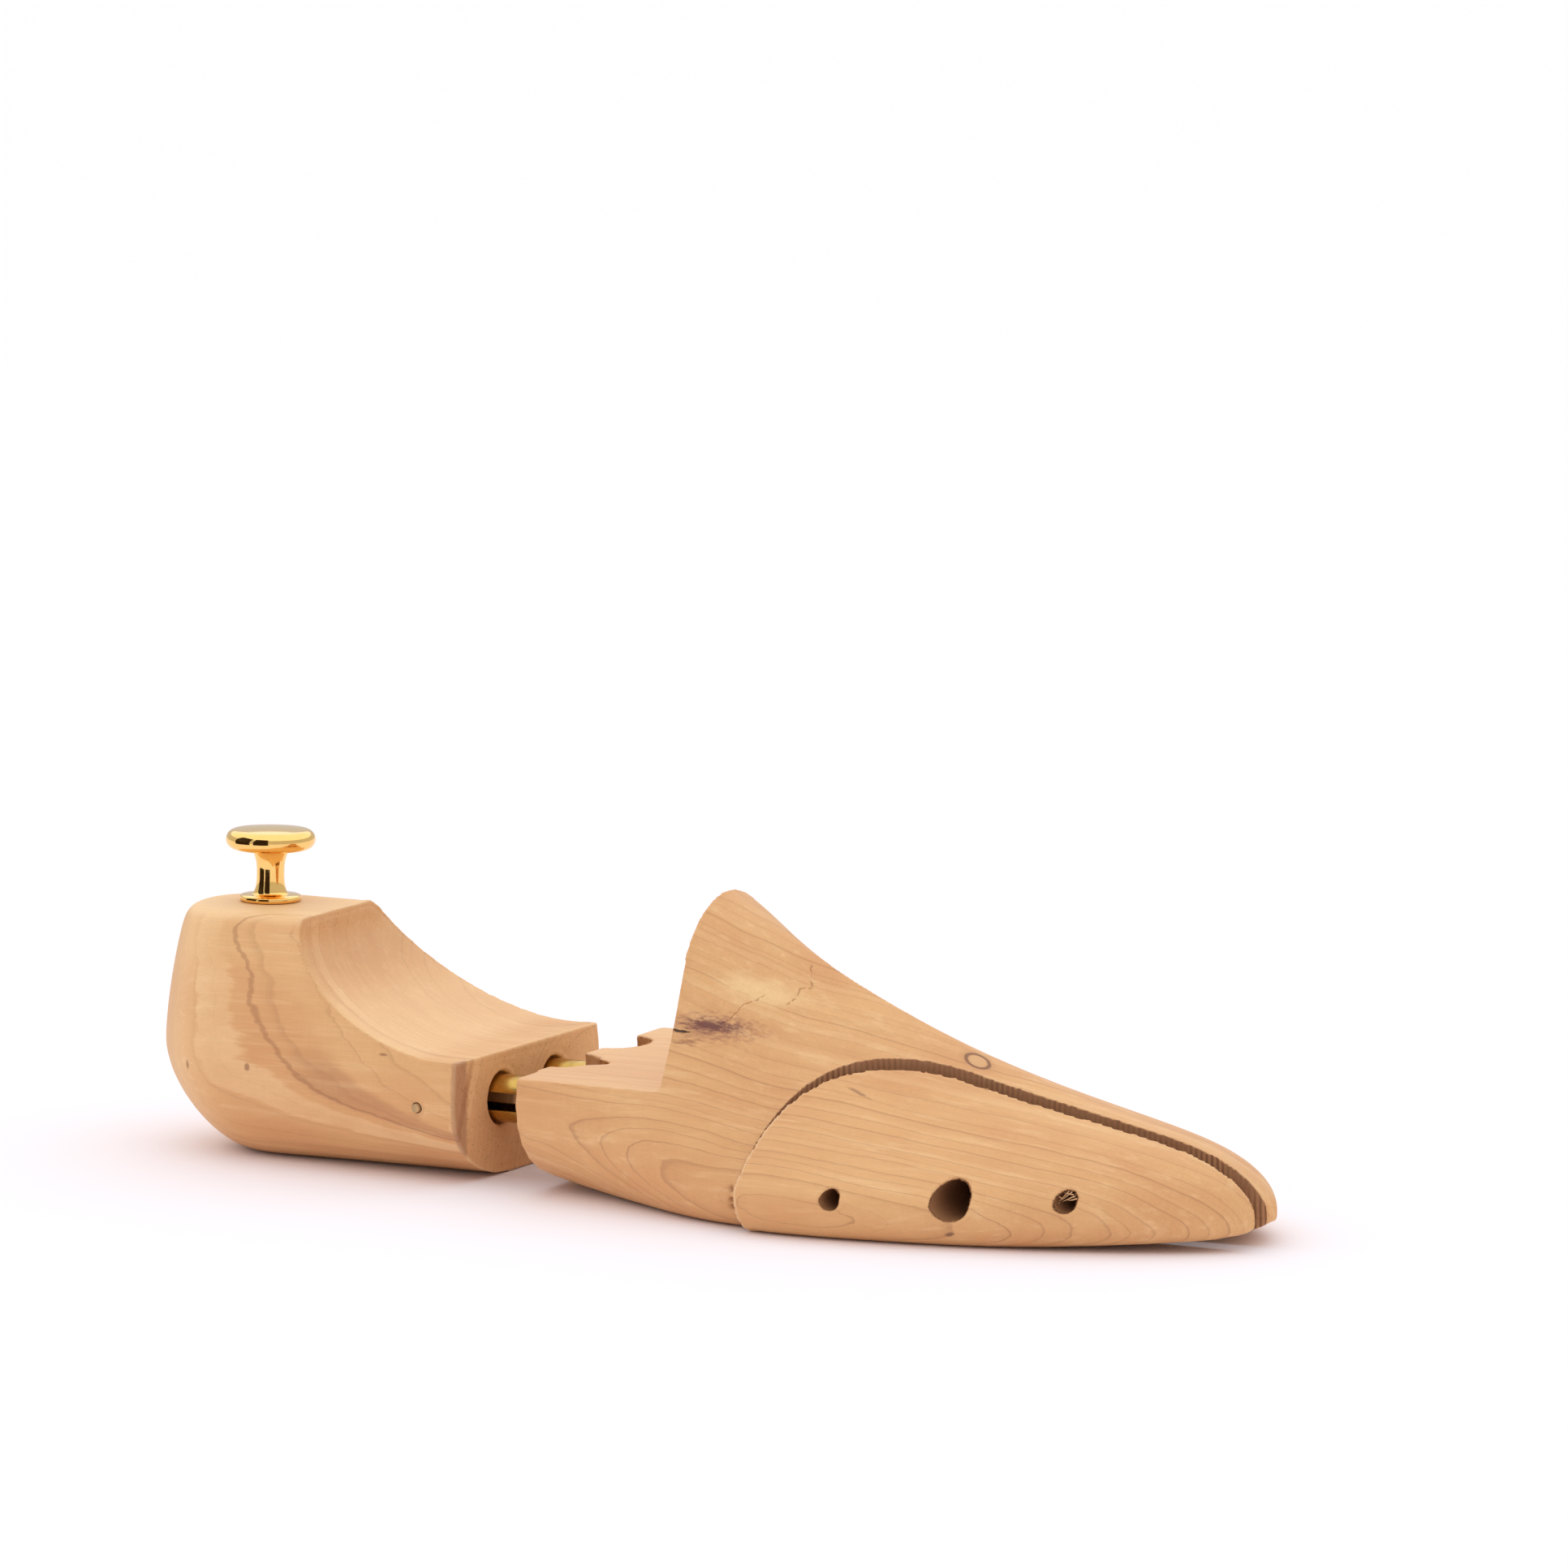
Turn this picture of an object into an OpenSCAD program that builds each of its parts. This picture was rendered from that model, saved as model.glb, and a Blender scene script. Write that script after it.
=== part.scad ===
// Split-toe wooden shoe tree with a spring-loaded heel on twin brass tubes.
// Millimetres. X runs from the heel to the toe, Y from the lateral to the medial side, Z is up.
// The origin is on the resting plane, below the axis of the pull knob.

/* [Heel block] */
// Height of the heel block's top face at the knob
heel_top_z = 59.5; // [56:0.5:64]
// Distance from the knob axis to the heel block's front face
heel_front_x = 73; // [70:0.5:76]
// Distance from the knob axis back to the rearmost point
heel_back = 24.5; // [22:0.5:27]
// Half width of the heel block at its front face
heel_half_front = 35; // [33:0.5:36]
// Half width of the heel block at its back
heel_half_back = 32; // [30:0.5:34]
// Half width of the heel block's top face
heel_half_top = 19; // [17:0.5:21]
// Height of the saddle above the resting plane
saddle_z = 30; // [29:0.5:31]
// Lean of the top face and of the knob towards the toe
top_lean = 1; // [0:0.5:3]

/* [Forepart] */
// Gap between the heel block and the forepart
heel_gap = 17.6; // [17:0.1:19]
// Length of the low step behind the instep wall
step_length = 40; // [38:0.5:42]
// Height of the step along its lateral edge
step_z = 29; // [28.5:0.5:30]
// Height of the instep peak
instep_z = 70.8; // [68:0.2:76]
// Position of the toe tip
toe_x = 271.3; // [269:0.1:273]
// Lateral reach of the closed toe at the ball
ball_lateral = 49.5; // [47:0.5:51]
// Medial reach of the toe at the ball
ball_medial = 38; // [36:0.5:40]

/* [Split toe] */
// Width of the saw cut with the toe closed
kerf = 1.5; // [1:0.1:2]
// Outward travel of the toe's side block
toe_travel = 3.5; // [2.5:0.1:4]
// Diameter of the spring hole through the side block
big_hole_d = 8.8; // [8.4:0.2:9.4]
// Diameter of each guide pin hole
small_hole_d = 4.6; // [4.5:0.1:5]

/* [Tubes and springs] */
// Height of the tube axes
tube_z = 18.5; // [17.5:0.5:19.5]
// Distance between the two tube axes
tube_spacing = 25; // [24:0.5:26]
// Outer diameter of each tube
tube_d = 11.5; // [11.2:0.1:11.8]
// Wall thickness of each tube
tube_wall = 0.75; // [0.6:0.05:1]
// Diameter of each tube bore in the heel block
bore_d = 12.7; // [12.5:0.1:13]
// Width of the slot in each tube
slot_w = 4.4; // [4:0.1:4.6]
// Largest tilt of the heel block
tilt_max = 15; // [10:1:16]

/* [Knob] */
// Diameter of the knob's disc
knob_d = 22; // [20:0.5:24]
// Height of the knob above the top face
knob_h = 18; // [17:0.2:20]
// Diameter of the knob's foot
knob_foot_d = 15; // [14:0.5:16]
// Diameter of the knob's waist
knob_waist_d = 6.8; // [6:0.2:8]

/* [Hidden] */

round_fn = 48;
slack = 0.05;
tube_clearance = 0.35;
tube_end_room_d = 15.4;
notch_r = 8;
far = 400;

forepart_rear_x = heel_front_x + heel_gap;
wall_x = forepart_rear_x + step_length;

// Heel block outline
heel_bottom_half = 9;
heel_bottom_back = 3;
heel_belly_z = 18;
heel_back_belly_z = 26;
heel_side_power = 2;
heel_back_power = 1.5;
saddle_skew = 2;
heel_medial_slope = 3.5;
heel_rim_round = 3.5;
heel_slices = 18;
heel_back_steps = 16;
saddle_start_x = 20.5;
saddle_flat_x = 66;
saddle_power = 1.65;
saddle_steps = 14;

// Forepart outline
ball_x = 165;
medial_ball_x = 195;
rear_lateral = 38.5;
rear_medial = 35;
toe_y = -8.5;
nose_z = 6.6;
nose_start_x = 235;
nose_power = 3.7;
chin_start_x = 259;
chin_power = 2.6;
heel_end_lift = 3;
heel_end_lift_length = 28;
toe_lift = 3.5;
toe_lift_x = 208;
toe_lift_power = 1.5;
ridge_y = -5;
ridge_decay = 107;
rear_round = 2;
section_steps = 15;
section_xs = concat(
    [for (i = [0:4]) forepart_rear_x + rear_round * (1 - cos(i * 22.5))],
    [for (i = [1:6]) forepart_rear_x + rear_round + i * 6],
    [for (i = [0:19]) wall_x + i * 5.6],
    [for (i = [1:9]) wall_x + 106.4 + (toe_x - wall_x - 106.6) * sin(i * 10)]
);

// Split cut, a quarter ellipse that runs on into a straight line to the toe
cut_start_x = 156;
cut_turn_x = 202;
cut_turn_y = -12.5;
cut_side_y = -54;
cut_toe_y = -8.5;
cut_steps = 12;

// Tubes, pins and springs
tube_rear_x = 33;
pivot_x = forepart_rear_x + 26;
tube_front_x = pivot_x + 4.5;
cross_pin_x = heel_front_x - 11;
cross_pin_d = 2;
hinge_pin_d = 3;
heel_bore_end_x = -6;
heel_wire_d = 1.2;
toe_wire_d = 1;
knob_stud_d = 4.8;

// Toe hardware along Y
hole_xs = [181.3, 209, 234];
hole_zs = [10, 11.2, 12];
toe_shoulder_y = -25;
toe_spring_seat_y = 0;
toe_screw_d = 3.8;
guide_pin_d = 4.3;
guide_inner_y = 3;
guide_outer_ys = [-32, 0, -23];

function lerp(a, b, t) = a + (b - a) * t;
function clamp01(t) = max(0, min(1, t));
function ease(t) = 0.5 - 0.5 * cos(180 * clamp01(t));
function super(t, p) = pow(max(0, 1 - pow(abs(t), p)), 1 / p);

// Closed skin over a stack of rings that all have the same number of points
module skin(rings) {
    n = len(rings[0]);
    m = len(rings);
    points = [for (ring = rings) for (p = ring) p];
    sides = [
        for (k = [0:m - 2]) for (i = [0:n - 1])
            for (half = [0, 1])
                half == 0
                    ? [k * n + i, (k + 1) * n + i, k * n + (i + 1) % n]
                    : [(k + 1) * n + i, (k + 1) * n + (i + 1) % n, k * n + (i + 1) % n]
    ];
    first = [[for (i = [0:n - 1]) i]];
    last = [[for (i = [n - 1:-1:0]) (m - 1) * n + i]];
    polyhedron(points = points, faces = concat(first, sides, last), convexity = 8);
}

// Heel block: horizontal slices, each a straight-sided outline with a round back
function belly(z, widest_z, p) = z < widest_z ? super(1 - z / widest_z, p) : 1;
function taper(z) = pow(clamp01((z - heel_belly_z) / (heel_top_z - heel_belly_z)), 2.1);
function rim(z) =
    z > heel_top_z - heel_rim_round
        ? heel_rim_round - sqrt(max(0, pow(heel_rim_round, 2) - pow(z - heel_top_z + heel_rim_round, 2)))
        : 0;
function heel_half(z, full, bottom, widest_z) =
    lerp(bottom, full, belly(z, widest_z, heel_side_power))
        - (heel_half_back - heel_half_top) * taper(z) - rim(z);
function heel_rear(z) =
    -lerp(heel_bottom_back, heel_back, belly(z, heel_back_belly_z, heel_back_power)) + 4.5 * taper(z) + rim(z);
function heel_ring(z) =
    let (
        wf = heel_half(z, heel_half_front, heel_bottom_half, heel_belly_z),
        wb = heel_half(z, heel_half_back, heel_bottom_half + 6, heel_back_belly_z),
        xb = heel_rear(z),
        xc = xb + 0.95 * wb,
        slope = heel_medial_slope * taper(z),
        n = heel_back_steps,
        back = [
            for (i = [0:n])
                let (a = 90 + 180 * i / n, w = a < 180 ? wb - slope : wb)
                [xc + (xc - xb) * sign(cos(a)) * pow(abs(cos(a)), 0.92), w * sin(a), z]
        ]
    )
    concat([[heel_front_x, -wf, z], [heel_front_x, wf - slope, z]], back);
heel_zs = [
    for (k = [0:heel_slices])
        let (t = k / heel_slices)
        t < 0.4
            ? heel_back_belly_z * (1 - cos(90 * t / 0.4))
            : (t < 0.85
                ? lerp(heel_back_belly_z, heel_top_z - heel_rim_round, (t - 0.4) / 0.45)
                : heel_top_z - heel_rim_round + heel_rim_round * sin(90 * (t - 0.85) / 0.15))
];
saddle_curve = [
    for (i = [0:saddle_steps])
        let (a = 90 * i / saddle_steps, q = 2 / saddle_power)
        [
            saddle_flat_x - (saddle_flat_x - saddle_start_x) * pow(cos(a), q),
            heel_top_z - (heel_top_z - saddle_z) * pow(sin(a), q)
        ]
];

module heel_body() {
    difference() {
        skin([for (z = heel_zs) heel_ring(z)]);
        rotate([90, 0, saddle_skew])
            linear_extrude(height = 120, center = true)
                polygon(concat(
                    [[saddle_start_x, heel_top_z + 20]],
                    saddle_curve,
                    [[heel_front_x + 20, saddle_z], [heel_front_x + 20, heel_top_z + 20]]
                ));
        translate([0, 0, heel_top_z])
            rotate([0, top_lean, 0])
                translate([-100, -60, 0])
                    cube([200, 120, 30]);
    }
}

module along_x(x0, x1, d) {
    translate([x0, 0, 0]) rotate([0, 90, 0]) cylinder(h = x1 - x0, d = d, $fn = round_fn);
}

module along_y(x, z, y0, y1, d) {
    translate([x, y0, z]) rotate([-90, 0, 0]) cylinder(h = y1 - y0, d = d, $fn = round_fn);
}

module on_knob_axis() {
    translate([0, 0, heel_top_z]) rotate([0, top_lean, 0]) children();
}

module heel_block() {
    color("burlywood")
        difference() {
            heel_body();
            for (side = [-1, 1])
                translate([0, side * tube_spacing / 2, tube_z])
                    along_x(heel_bore_end_x, heel_front_x + 5, bore_d);
            along_y(cross_pin_x, tube_z, -60, 60, cross_pin_d + 2 * slack);
            on_knob_axis()
                translate([0, 0, -18]) cylinder(h = 20, d = knob_stud_d + 2 * slack, $fn = round_fn);
        }
}

// Forepart: upright cross-sections from the rear face to the toe tip
function toe_fade(x, from, p) = super(clamp01((x - from) / (toe_x - from)), p);
function lateral(x) =
    x < ball_x
        ? -lerp(rear_lateral, ball_lateral, ease((x - forepart_rear_x) / (ball_x - forepart_rear_x)))
        : toe_y - (ball_lateral + toe_y) * toe_fade(x, ball_x, 1.6);
function medial(x) =
    x < medial_ball_x
        ? lerp(rear_medial, ball_medial, ease((x - wall_x) / (medial_ball_x - wall_x)))
        : toe_y + (ball_medial - toe_y) * toe_fade(x, medial_ball_x, 1.9);
function blunt(x, from, p) = x < from ? 1 : pow(1 - pow((x - from) / (toe_x - from), p), 0.5);
function ridge(x) =
    lerp(nose_z, (instep_z + 1) * exp(-max(0, x - wall_x) / ridge_decay), blunt(x, nose_start_x, nose_power))
        + 0.6 * sin(180 * clamp01((x - wall_x) / 30));
function sole(x) =
    lerp(
        nose_z,
        heel_end_lift * pow(clamp01(1 - (x - forepart_rear_x) / heel_end_lift_length), 2)
            + toe_lift * pow(clamp01((x - toe_lift_x) / (toe_x - toe_lift_x)), toe_lift_power) - 0.2,
        blunt(x, chin_start_x, chin_power)
    );
function belly_z(x) =
    lerp(lerp(22, 10, ease((x - forepart_rear_x) / 60)), nose_z, ease((x - 225) / 45));
function sole_inset(x) =
    lerp(21, 7, ease((x - forepart_rear_x) / 60)) * toe_fade(x, 215, 2) + 0.2;
function roof_power(x) =
    x < 165
        ? lerp(1.9, 1.12, ease((x - wall_x + 5) / (165 - wall_x)))
        : lerp(1.12, 2, pow(clamp01((x - 180) / (toe_x - 180)), 1.6));
function flank_pinch(x) = 0.13 * (1 - ease((x - wall_x) / 30));
function rear_inset(x) =
    x < forepart_rear_x + rear_round
        ? rear_round - sqrt(max(0, pow(rear_round, 2) - pow(forepart_rear_x + rear_round - x, 2)))
        : 0;

// One side of a cross-section from the ridge down to the sole
function flank(x, reach) =
    let (
        yr = lerp(ridge_y, toe_y, ease((x - 200) / 70)),
        w = reach - yr,
        zt = ridge(x),
        zm = belly_z(x),
        zs = sole(x),
        inset = min(sole_inset(x), abs(w) * 0.9),
        n = section_steps
    )
    concat(
        [
            for (i = [0:n])
                let (
                    a = 90 * i / n,
                    q = 2 / roof_power(x),
                    v = pow(cos(a), q),
                    u = pow(sin(a), q) - flank_pinch(x) * pow(sin(180 * v), 2)
                )
                [x, yr + w * u, zm + (zt - zm) * v]
        ],
        [
            for (i = [1:6])
                let (a = 90 * i / 6)
                [x, reach - sign(w) * inset * (1 - cos(a)), zm - (zm - zs) * sin(a)]
        ]
    );
function forepart_ring(x) =
    let (
        inset = rear_inset(x),
        near_side = flank(x, lateral(x) + inset),
        far_side = flank(x, medial(x) - inset),
        n = len(near_side)
    )
    concat(near_side, [for (i = [n - 1:-1:1]) far_side[i]]);

module whole_forepart() {
    difference() {
        skin([for (x = section_xs) forepart_ring(x)]);
        translate([0, -100, -20]) cube([far, 200, 20]);
    }
}

// Region of the plan on the lateral side of the cut, moved back from it by a margin
module lateral_plan(margin) {
    curve = [
        for (i = [0:cut_steps])
            let (a = 90 * i / cut_steps)
            [
                cut_turn_x - (cut_turn_x - cut_start_x - margin) * cos(a),
                cut_side_y + (cut_turn_y - margin - cut_side_y) * sin(a)
            ]
    ];
    polygon(concat(
        [[cut_start_x + margin, -100]],
        curve,
        [[toe_x + 10, cut_toe_y - margin], [toe_x + 10, -100]]
    ));
}

module tube_passage() {
    r = tube_d / 2 + tube_clearance;
    half_y = r + 0.15;
    translate([pivot_x, 0, tube_z]) {
        for (tilt = [0, tilt_max])
            rotate([0, tilt, 0]) along_x(-60, 0, 2 * r);
        rotate([90, 0, 0])
            linear_extrude(height = 2 * half_y, center = true)
                polygon([[0, 0], [-60, 0], [-60 * cos(tilt_max), 60 * sin(tilt_max)]]);
        along_y(0, 0, -half_y, half_y, tube_end_room_d);
    }
}

module forepart_block() {
    color("burlywood")
        difference() {
            whole_forepart();
            translate([0, 0, -1]) linear_extrude(height = 120) lateral_plan(0);
            step_cutter();
            for (side = [-1, 1]) {
                translate([0, side * tube_spacing / 2, 0]) tube_passage();
                translate([forepart_rear_x - 0.4, side * tube_spacing / 2, tube_z])
                    cylinder(h = 40, r = notch_r, $fn = round_fn);
            }
            along_y(pivot_x, tube_z, -24, 60, hinge_pin_d + 2 * slack);
            along_y(hole_xs[1], hole_zs[1], -60, toe_spring_seat_y, big_hole_d);
            along_y(hole_xs[1], hole_zs[1], -60, 18.2, toe_screw_d + 2 * slack);
            for (i = [0, 2])
                along_y(hole_xs[i], hole_zs[i], -60, guide_inner_y + 0.2, guide_pin_d + 2 * slack);
        }
}

// Removes everything above the step behind the instep wall
module step_cutter() {
    translate([wall_x, -rear_lateral, step_z])
        rotate([1.7, -0.8, 0])
            translate([-80, -60, 0])
                cube([80, 180, 90]);
}

module toe_side_block() {
    color("burlywood")
        difference() {
            translate([0, -toe_travel, 0])
                intersection() {
                    whole_forepart();
                    translate([0, 0, -1]) linear_extrude(height = 120) lateral_plan(kerf);
                }
            along_y(hole_xs[1], hole_zs[1], -90, toe_shoulder_y, big_hole_d);
            along_y(hole_xs[1], hole_zs[1], -60, 0, 5);
            for (i = [0, 2])
                along_y(hole_xs[i], hole_zs[i], -90, 0, small_hole_d);
        }
}

module tube() {
    difference() {
        along_x(tube_rear_x, tube_front_x, tube_d);
        along_x(tube_rear_x - 1, tube_front_x + 1, tube_d - 2 * tube_wall);
        // Slot for the heel's cross pin, in both sides of the wall
        slot_cutter(cross_pin_x + 1, forepart_rear_x + 5);
        along_y(pivot_x, 0, -10, 10, hinge_pin_d + 2 * slack);
    }
}

module slot_cutter(x0, x1) {
    for (x = [x0, x1]) along_y(x, 0, -10, 10, slot_w);
    translate([x0, -10, -slot_w / 2]) cube([x1 - x0, 20, slot_w]);
}

module lateral_tube() {
    color("goldenrod") translate([0, -tube_spacing / 2, tube_z]) tube();
}

module medial_tube() {
    color("goldenrod") translate([0, tube_spacing / 2, tube_z]) tube();
}

// Coil spring along +X from x = 0
module coil(length, mean_r, wire_d, turns) {
    sides = 6;
    per_turn = 14;
    run = length - wire_d;
    rings = [
        for (k = [0:turns * per_turn])
            let (a = 360 * k / per_turn, x = wire_d / 2 + run * k / (turns * per_turn))
            [
                for (j = [0:sides - 1])
                    let (b = -360 * j / sides, r = mean_r + wire_d / 2 * cos(b))
                    [x + wire_d / 2 * sin(b), r * cos(a), r * sin(a)]
            ]
    ];
    skin(rings);
}

module heel_spring() {
    translate([heel_bore_end_x + slack, 0, 0])
        coil(tube_rear_x - heel_bore_end_x - 2 * slack, 5.1, heel_wire_d, 10);
}

module lateral_heel_spring() {
    color("silver") translate([0, -tube_spacing / 2, tube_z]) heel_spring();
}

module medial_heel_spring() {
    color("silver") translate([0, tube_spacing / 2, tube_z]) heel_spring();
}

module toe_spring() {
    inner_y = lerp(cut_turn_y, cut_toe_y, (hole_xs[1] - cut_turn_x) / (toe_x - cut_turn_x));
    outer_y = inner_y - kerf - toe_travel;
    color("silver")
        translate([hole_xs[1], toe_spring_seat_y - slack, hole_zs[1]])
            rotate([0, 0, -90])
                coil(toe_spring_seat_y - outer_y - 4 * slack, 3.3, toe_wire_d, 6);
}

module heel_cross_pin() {
    color("silver") along_y(cross_pin_x, tube_z, -34.8, 34.8, cross_pin_d);
}

module hinge_pin() {
    color("silver") along_y(pivot_x, tube_z, -23.8, 34.6, hinge_pin_d);
}

module toe_screw() {
    color("silver") {
        along_y(hole_xs[1], hole_zs[1], toe_shoulder_y - 1, 18, toe_screw_d);
        difference() {
            along_y(hole_xs[1], hole_zs[1], toe_shoulder_y - 3.4, toe_shoulder_y - 0.9, 7);
            translate([hole_xs[1], toe_shoulder_y - 3, hole_zs[1]])
                cube([8, 1.4, 1.1], center = true);
        }
    }
}

module toe_washer() {
    color("silver")
        difference() {
            along_y(hole_xs[1], hole_zs[1], toe_shoulder_y - 0.85, toe_shoulder_y - slack, 8.2);
            along_y(hole_xs[1], hole_zs[1], toe_shoulder_y - 5, toe_shoulder_y + 5, toe_screw_d + 2 * slack);
        }
}

module guide_pin(i) {
    color("silver") along_y(hole_xs[i], hole_zs[i], guide_outer_ys[i], guide_inner_y, guide_pin_d);
}

module rear_guide_pin() {
    guide_pin(0);
}

module front_guide_pin() {
    guide_pin(2);
}

// Half profile of the knob: foot, waisted stem and a domed disc with a round rim
function knob_profile() =
    let (
        foot_r = knob_foot_d / 2,
        waist_r = knob_waist_d / 2,
        rim_r = 2.4,
        disc_r = knob_d / 2,
        disc_z = knob_h - rim_r - 0.5
    )
    concat(
        [[0, 0], [foot_r - 0.3, 0], [foot_r, 0.4], [foot_r, 1], [foot_r - 0.5, 1.4]],
        [
            for (i = [0:6])
                let (a = 90 * i / 6)
                [waist_r + (foot_r - 2.8 - waist_r) * (1 - sin(a)), 1.6 + 4.6 * (1 - cos(a))]
        ],
        [for (i = [1:6]) [waist_r + 2.6 * (1 - cos(90 * i / 6)), 7.4 + (disc_z - 9.4) * sin(90 * i / 6)]],
        [for (i = [0:8]) let (a = -80 + 160 * i / 8) [disc_r - rim_r + rim_r * cos(a), disc_z + rim_r * sin(a)]],
        [[0, knob_h]]
    );

module knob() {
    color("gold")
        on_knob_axis() rotate_extrude($fn = 64) polygon(knob_profile());
}

module knob_stud() {
    color("silver")
        on_knob_axis()
            translate([0, 0, -17.8]) cylinder(h = 17.8, d = knob_stud_d, $fn = round_fn);
}

heel_block();
forepart_block();
toe_side_block();
lateral_tube();
medial_tube();
lateral_heel_spring();
medial_heel_spring();
heel_cross_pin();
hinge_pin();
knob();
knob_stud();
toe_screw();
toe_washer();
toe_spring();
rear_guide_pin();
front_guide_pin();
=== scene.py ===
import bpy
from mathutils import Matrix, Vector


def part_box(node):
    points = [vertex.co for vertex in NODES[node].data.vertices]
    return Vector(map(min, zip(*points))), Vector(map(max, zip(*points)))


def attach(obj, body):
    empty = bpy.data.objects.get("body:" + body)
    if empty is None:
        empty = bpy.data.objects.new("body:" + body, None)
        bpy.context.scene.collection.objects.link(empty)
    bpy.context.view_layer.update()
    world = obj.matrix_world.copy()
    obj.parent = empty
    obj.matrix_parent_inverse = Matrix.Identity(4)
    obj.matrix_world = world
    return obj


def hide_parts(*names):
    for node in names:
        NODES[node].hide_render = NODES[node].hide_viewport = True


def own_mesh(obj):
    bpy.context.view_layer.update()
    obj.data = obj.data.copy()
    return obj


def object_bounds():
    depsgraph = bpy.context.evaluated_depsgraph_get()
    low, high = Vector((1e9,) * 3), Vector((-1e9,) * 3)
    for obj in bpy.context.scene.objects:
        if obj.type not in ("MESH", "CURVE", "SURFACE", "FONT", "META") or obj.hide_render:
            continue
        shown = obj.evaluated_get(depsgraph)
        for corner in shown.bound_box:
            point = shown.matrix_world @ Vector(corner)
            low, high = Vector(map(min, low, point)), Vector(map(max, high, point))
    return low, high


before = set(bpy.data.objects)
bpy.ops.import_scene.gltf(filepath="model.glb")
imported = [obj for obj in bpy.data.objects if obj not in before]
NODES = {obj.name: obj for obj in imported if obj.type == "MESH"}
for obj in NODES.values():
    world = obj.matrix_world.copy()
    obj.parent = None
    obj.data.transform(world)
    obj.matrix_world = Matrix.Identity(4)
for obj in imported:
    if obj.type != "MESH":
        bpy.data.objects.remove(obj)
CAD_BOX = [list(corner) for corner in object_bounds()]

import math

import bmesh
import bpy
import numpy as np
from mathutils import Vector

MM = 0.001

# Places repeated from the part's source, in millimetres
HEEL_FRONT_X = 73.0
WALL_X = 130.6
FOREPART_REAR_X = 90.6
TUBE_Z = 18.5
TUBE_Y = 12.5
STEP_Z = 29.0
HEEL_TOP_Z = 59.5
CUT_START = (156.0, -54.0)
CUT_TURN = (202.0, -12.5)
CUT_SLOPE = 4.0 / 79.3
KERF = 1.5
TOE_TRAVEL = 3.5
HOLES = ((181.3, 10.0, 4.6), (209.0, 11.2, 8.8), (234.0, 12.0, 4.6))

# The saw's ridges in the kerf, and how far the seam is drawn shut on the flank, in millimetres
WASHBOARD_PITCH = 1.3
RIDGE_DEPTH = 0.2
SEAM_CLOSING = 0.85
SEAM_CLOSING_WAY = (-0.9, 0.3)
SEAM_SHUT_X, SEAM_OPEN_X = 162, 176

# Meshing, in millimetres
VOXEL = 0.6
SNAP = 0.42
HOLE_SNAP, FINE_HOLE_SNAP = 0.6, 0.2
MERGE = 0.002


# ---------------------------------------------------------------- numbers

def lattice(points, seed):
    """Smooth repeatable noise, -1 to 1, at an array of points."""
    cell = np.floor(points).astype(np.int64)
    part = points - cell
    part = part * part * (3 - 2 * part)
    total = np.zeros(len(points))
    for corner in range(8):
        step = np.array([corner & 1, corner >> 1 & 1, corner >> 2 & 1])
        at = cell + step
        h = at[:, 0] * 374761393 + at[:, 1] * 668265263 + at[:, 2] * 1440662683 + seed * 974634777
        h &= 0xFFFFFFFF
        h = ((h ^ (h >> 13)) * 1274126177) & 0xFFFFFFFF
        h = ((h ^ (h >> 16)) & 0xFFFF) / 32767.5 - 1
        weight = np.prod(np.where(step == 1, part, 1 - part), axis=1)
        total += h * weight
    return total


def smoothstep(low, high, value):
    t = np.clip((value - low) / (high - low), 0, 1)
    return t * t * (3 - 2 * t)


# ---------------------------------------------------------------- meshes

def points_of(mesh):
    """A mesh's points in millimetres."""
    flat = np.zeros(len(mesh.vertices) * 3)
    mesh.vertices.foreach_get("co", flat)
    return flat.reshape(-1, 3) / MM


def normals_of(mesh):
    flat = np.zeros(len(mesh.vertices) * 3)
    mesh.vertices.foreach_get("normal", flat)
    return flat.reshape(-1, 3)


def put_points(mesh, points):
    mesh.vertices.foreach_set("co", (points * MM).ravel())
    mesh.update()


def paint(mesh, name, values):
    """Stores one number per point for the materials to read."""
    layer = mesh.attributes.get(name) or mesh.attributes.new(name, "FLOAT", "POINT")
    layer.data.foreach_set("value", np.asarray(values, np.float32))


def finish_wood(mesh, **layers):
    """Smooth shading, and the layers that the wood reads."""
    for name in ("sawn", "along", "torn", "fresh", "split"):
        paint(mesh, name, layers.get(name, np.zeros(len(mesh.vertices))))
    mesh.polygons.foreach_set("use_smooth", [True] * len(mesh.polygons))


def show(name, mesh, body, slot, material, *nodes):
    piece = bpy.data.objects.new(name, mesh)
    bpy.context.scene.collection.objects.link(piece)
    mesh.materials.clear()
    mesh.materials.append(material)
    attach(piece, body)
    if nodes:
        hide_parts(*nodes)
    return piece


def merged_copy(node):
    """The node's mesh with its split corners joined again."""
    mesh = bpy.data.meshes.new(node + "_copy")
    shape = bmesh.new()
    shape.from_mesh(NODES[node].data)
    bmesh.ops.remove_doubles(shape, verts=shape.verts, dist=MERGE * MM)
    shape.to_mesh(mesh)
    shape.free()
    return mesh


def evaluated(mesh, *modifiers):
    """A new mesh after modifiers, each given as (kind, settings)."""
    holder = bpy.data.objects.new("holder", mesh)
    bpy.context.scene.collection.objects.link(holder)
    for kind, settings in modifiers:
        modifier = holder.modifiers.new(kind, kind)
        for key, value in settings.items():
            setattr(modifier, key, value)
    graph = bpy.context.evaluated_depsgraph_get()
    result = bpy.data.meshes.new_from_object(holder.evaluated_get(graph))
    bpy.data.objects.remove(holder)
    return result


def smoothed(mesh, times):
    return evaluated(mesh, ("SMOOTH", {"factor": 0.5, "iterations": times}))


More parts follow.
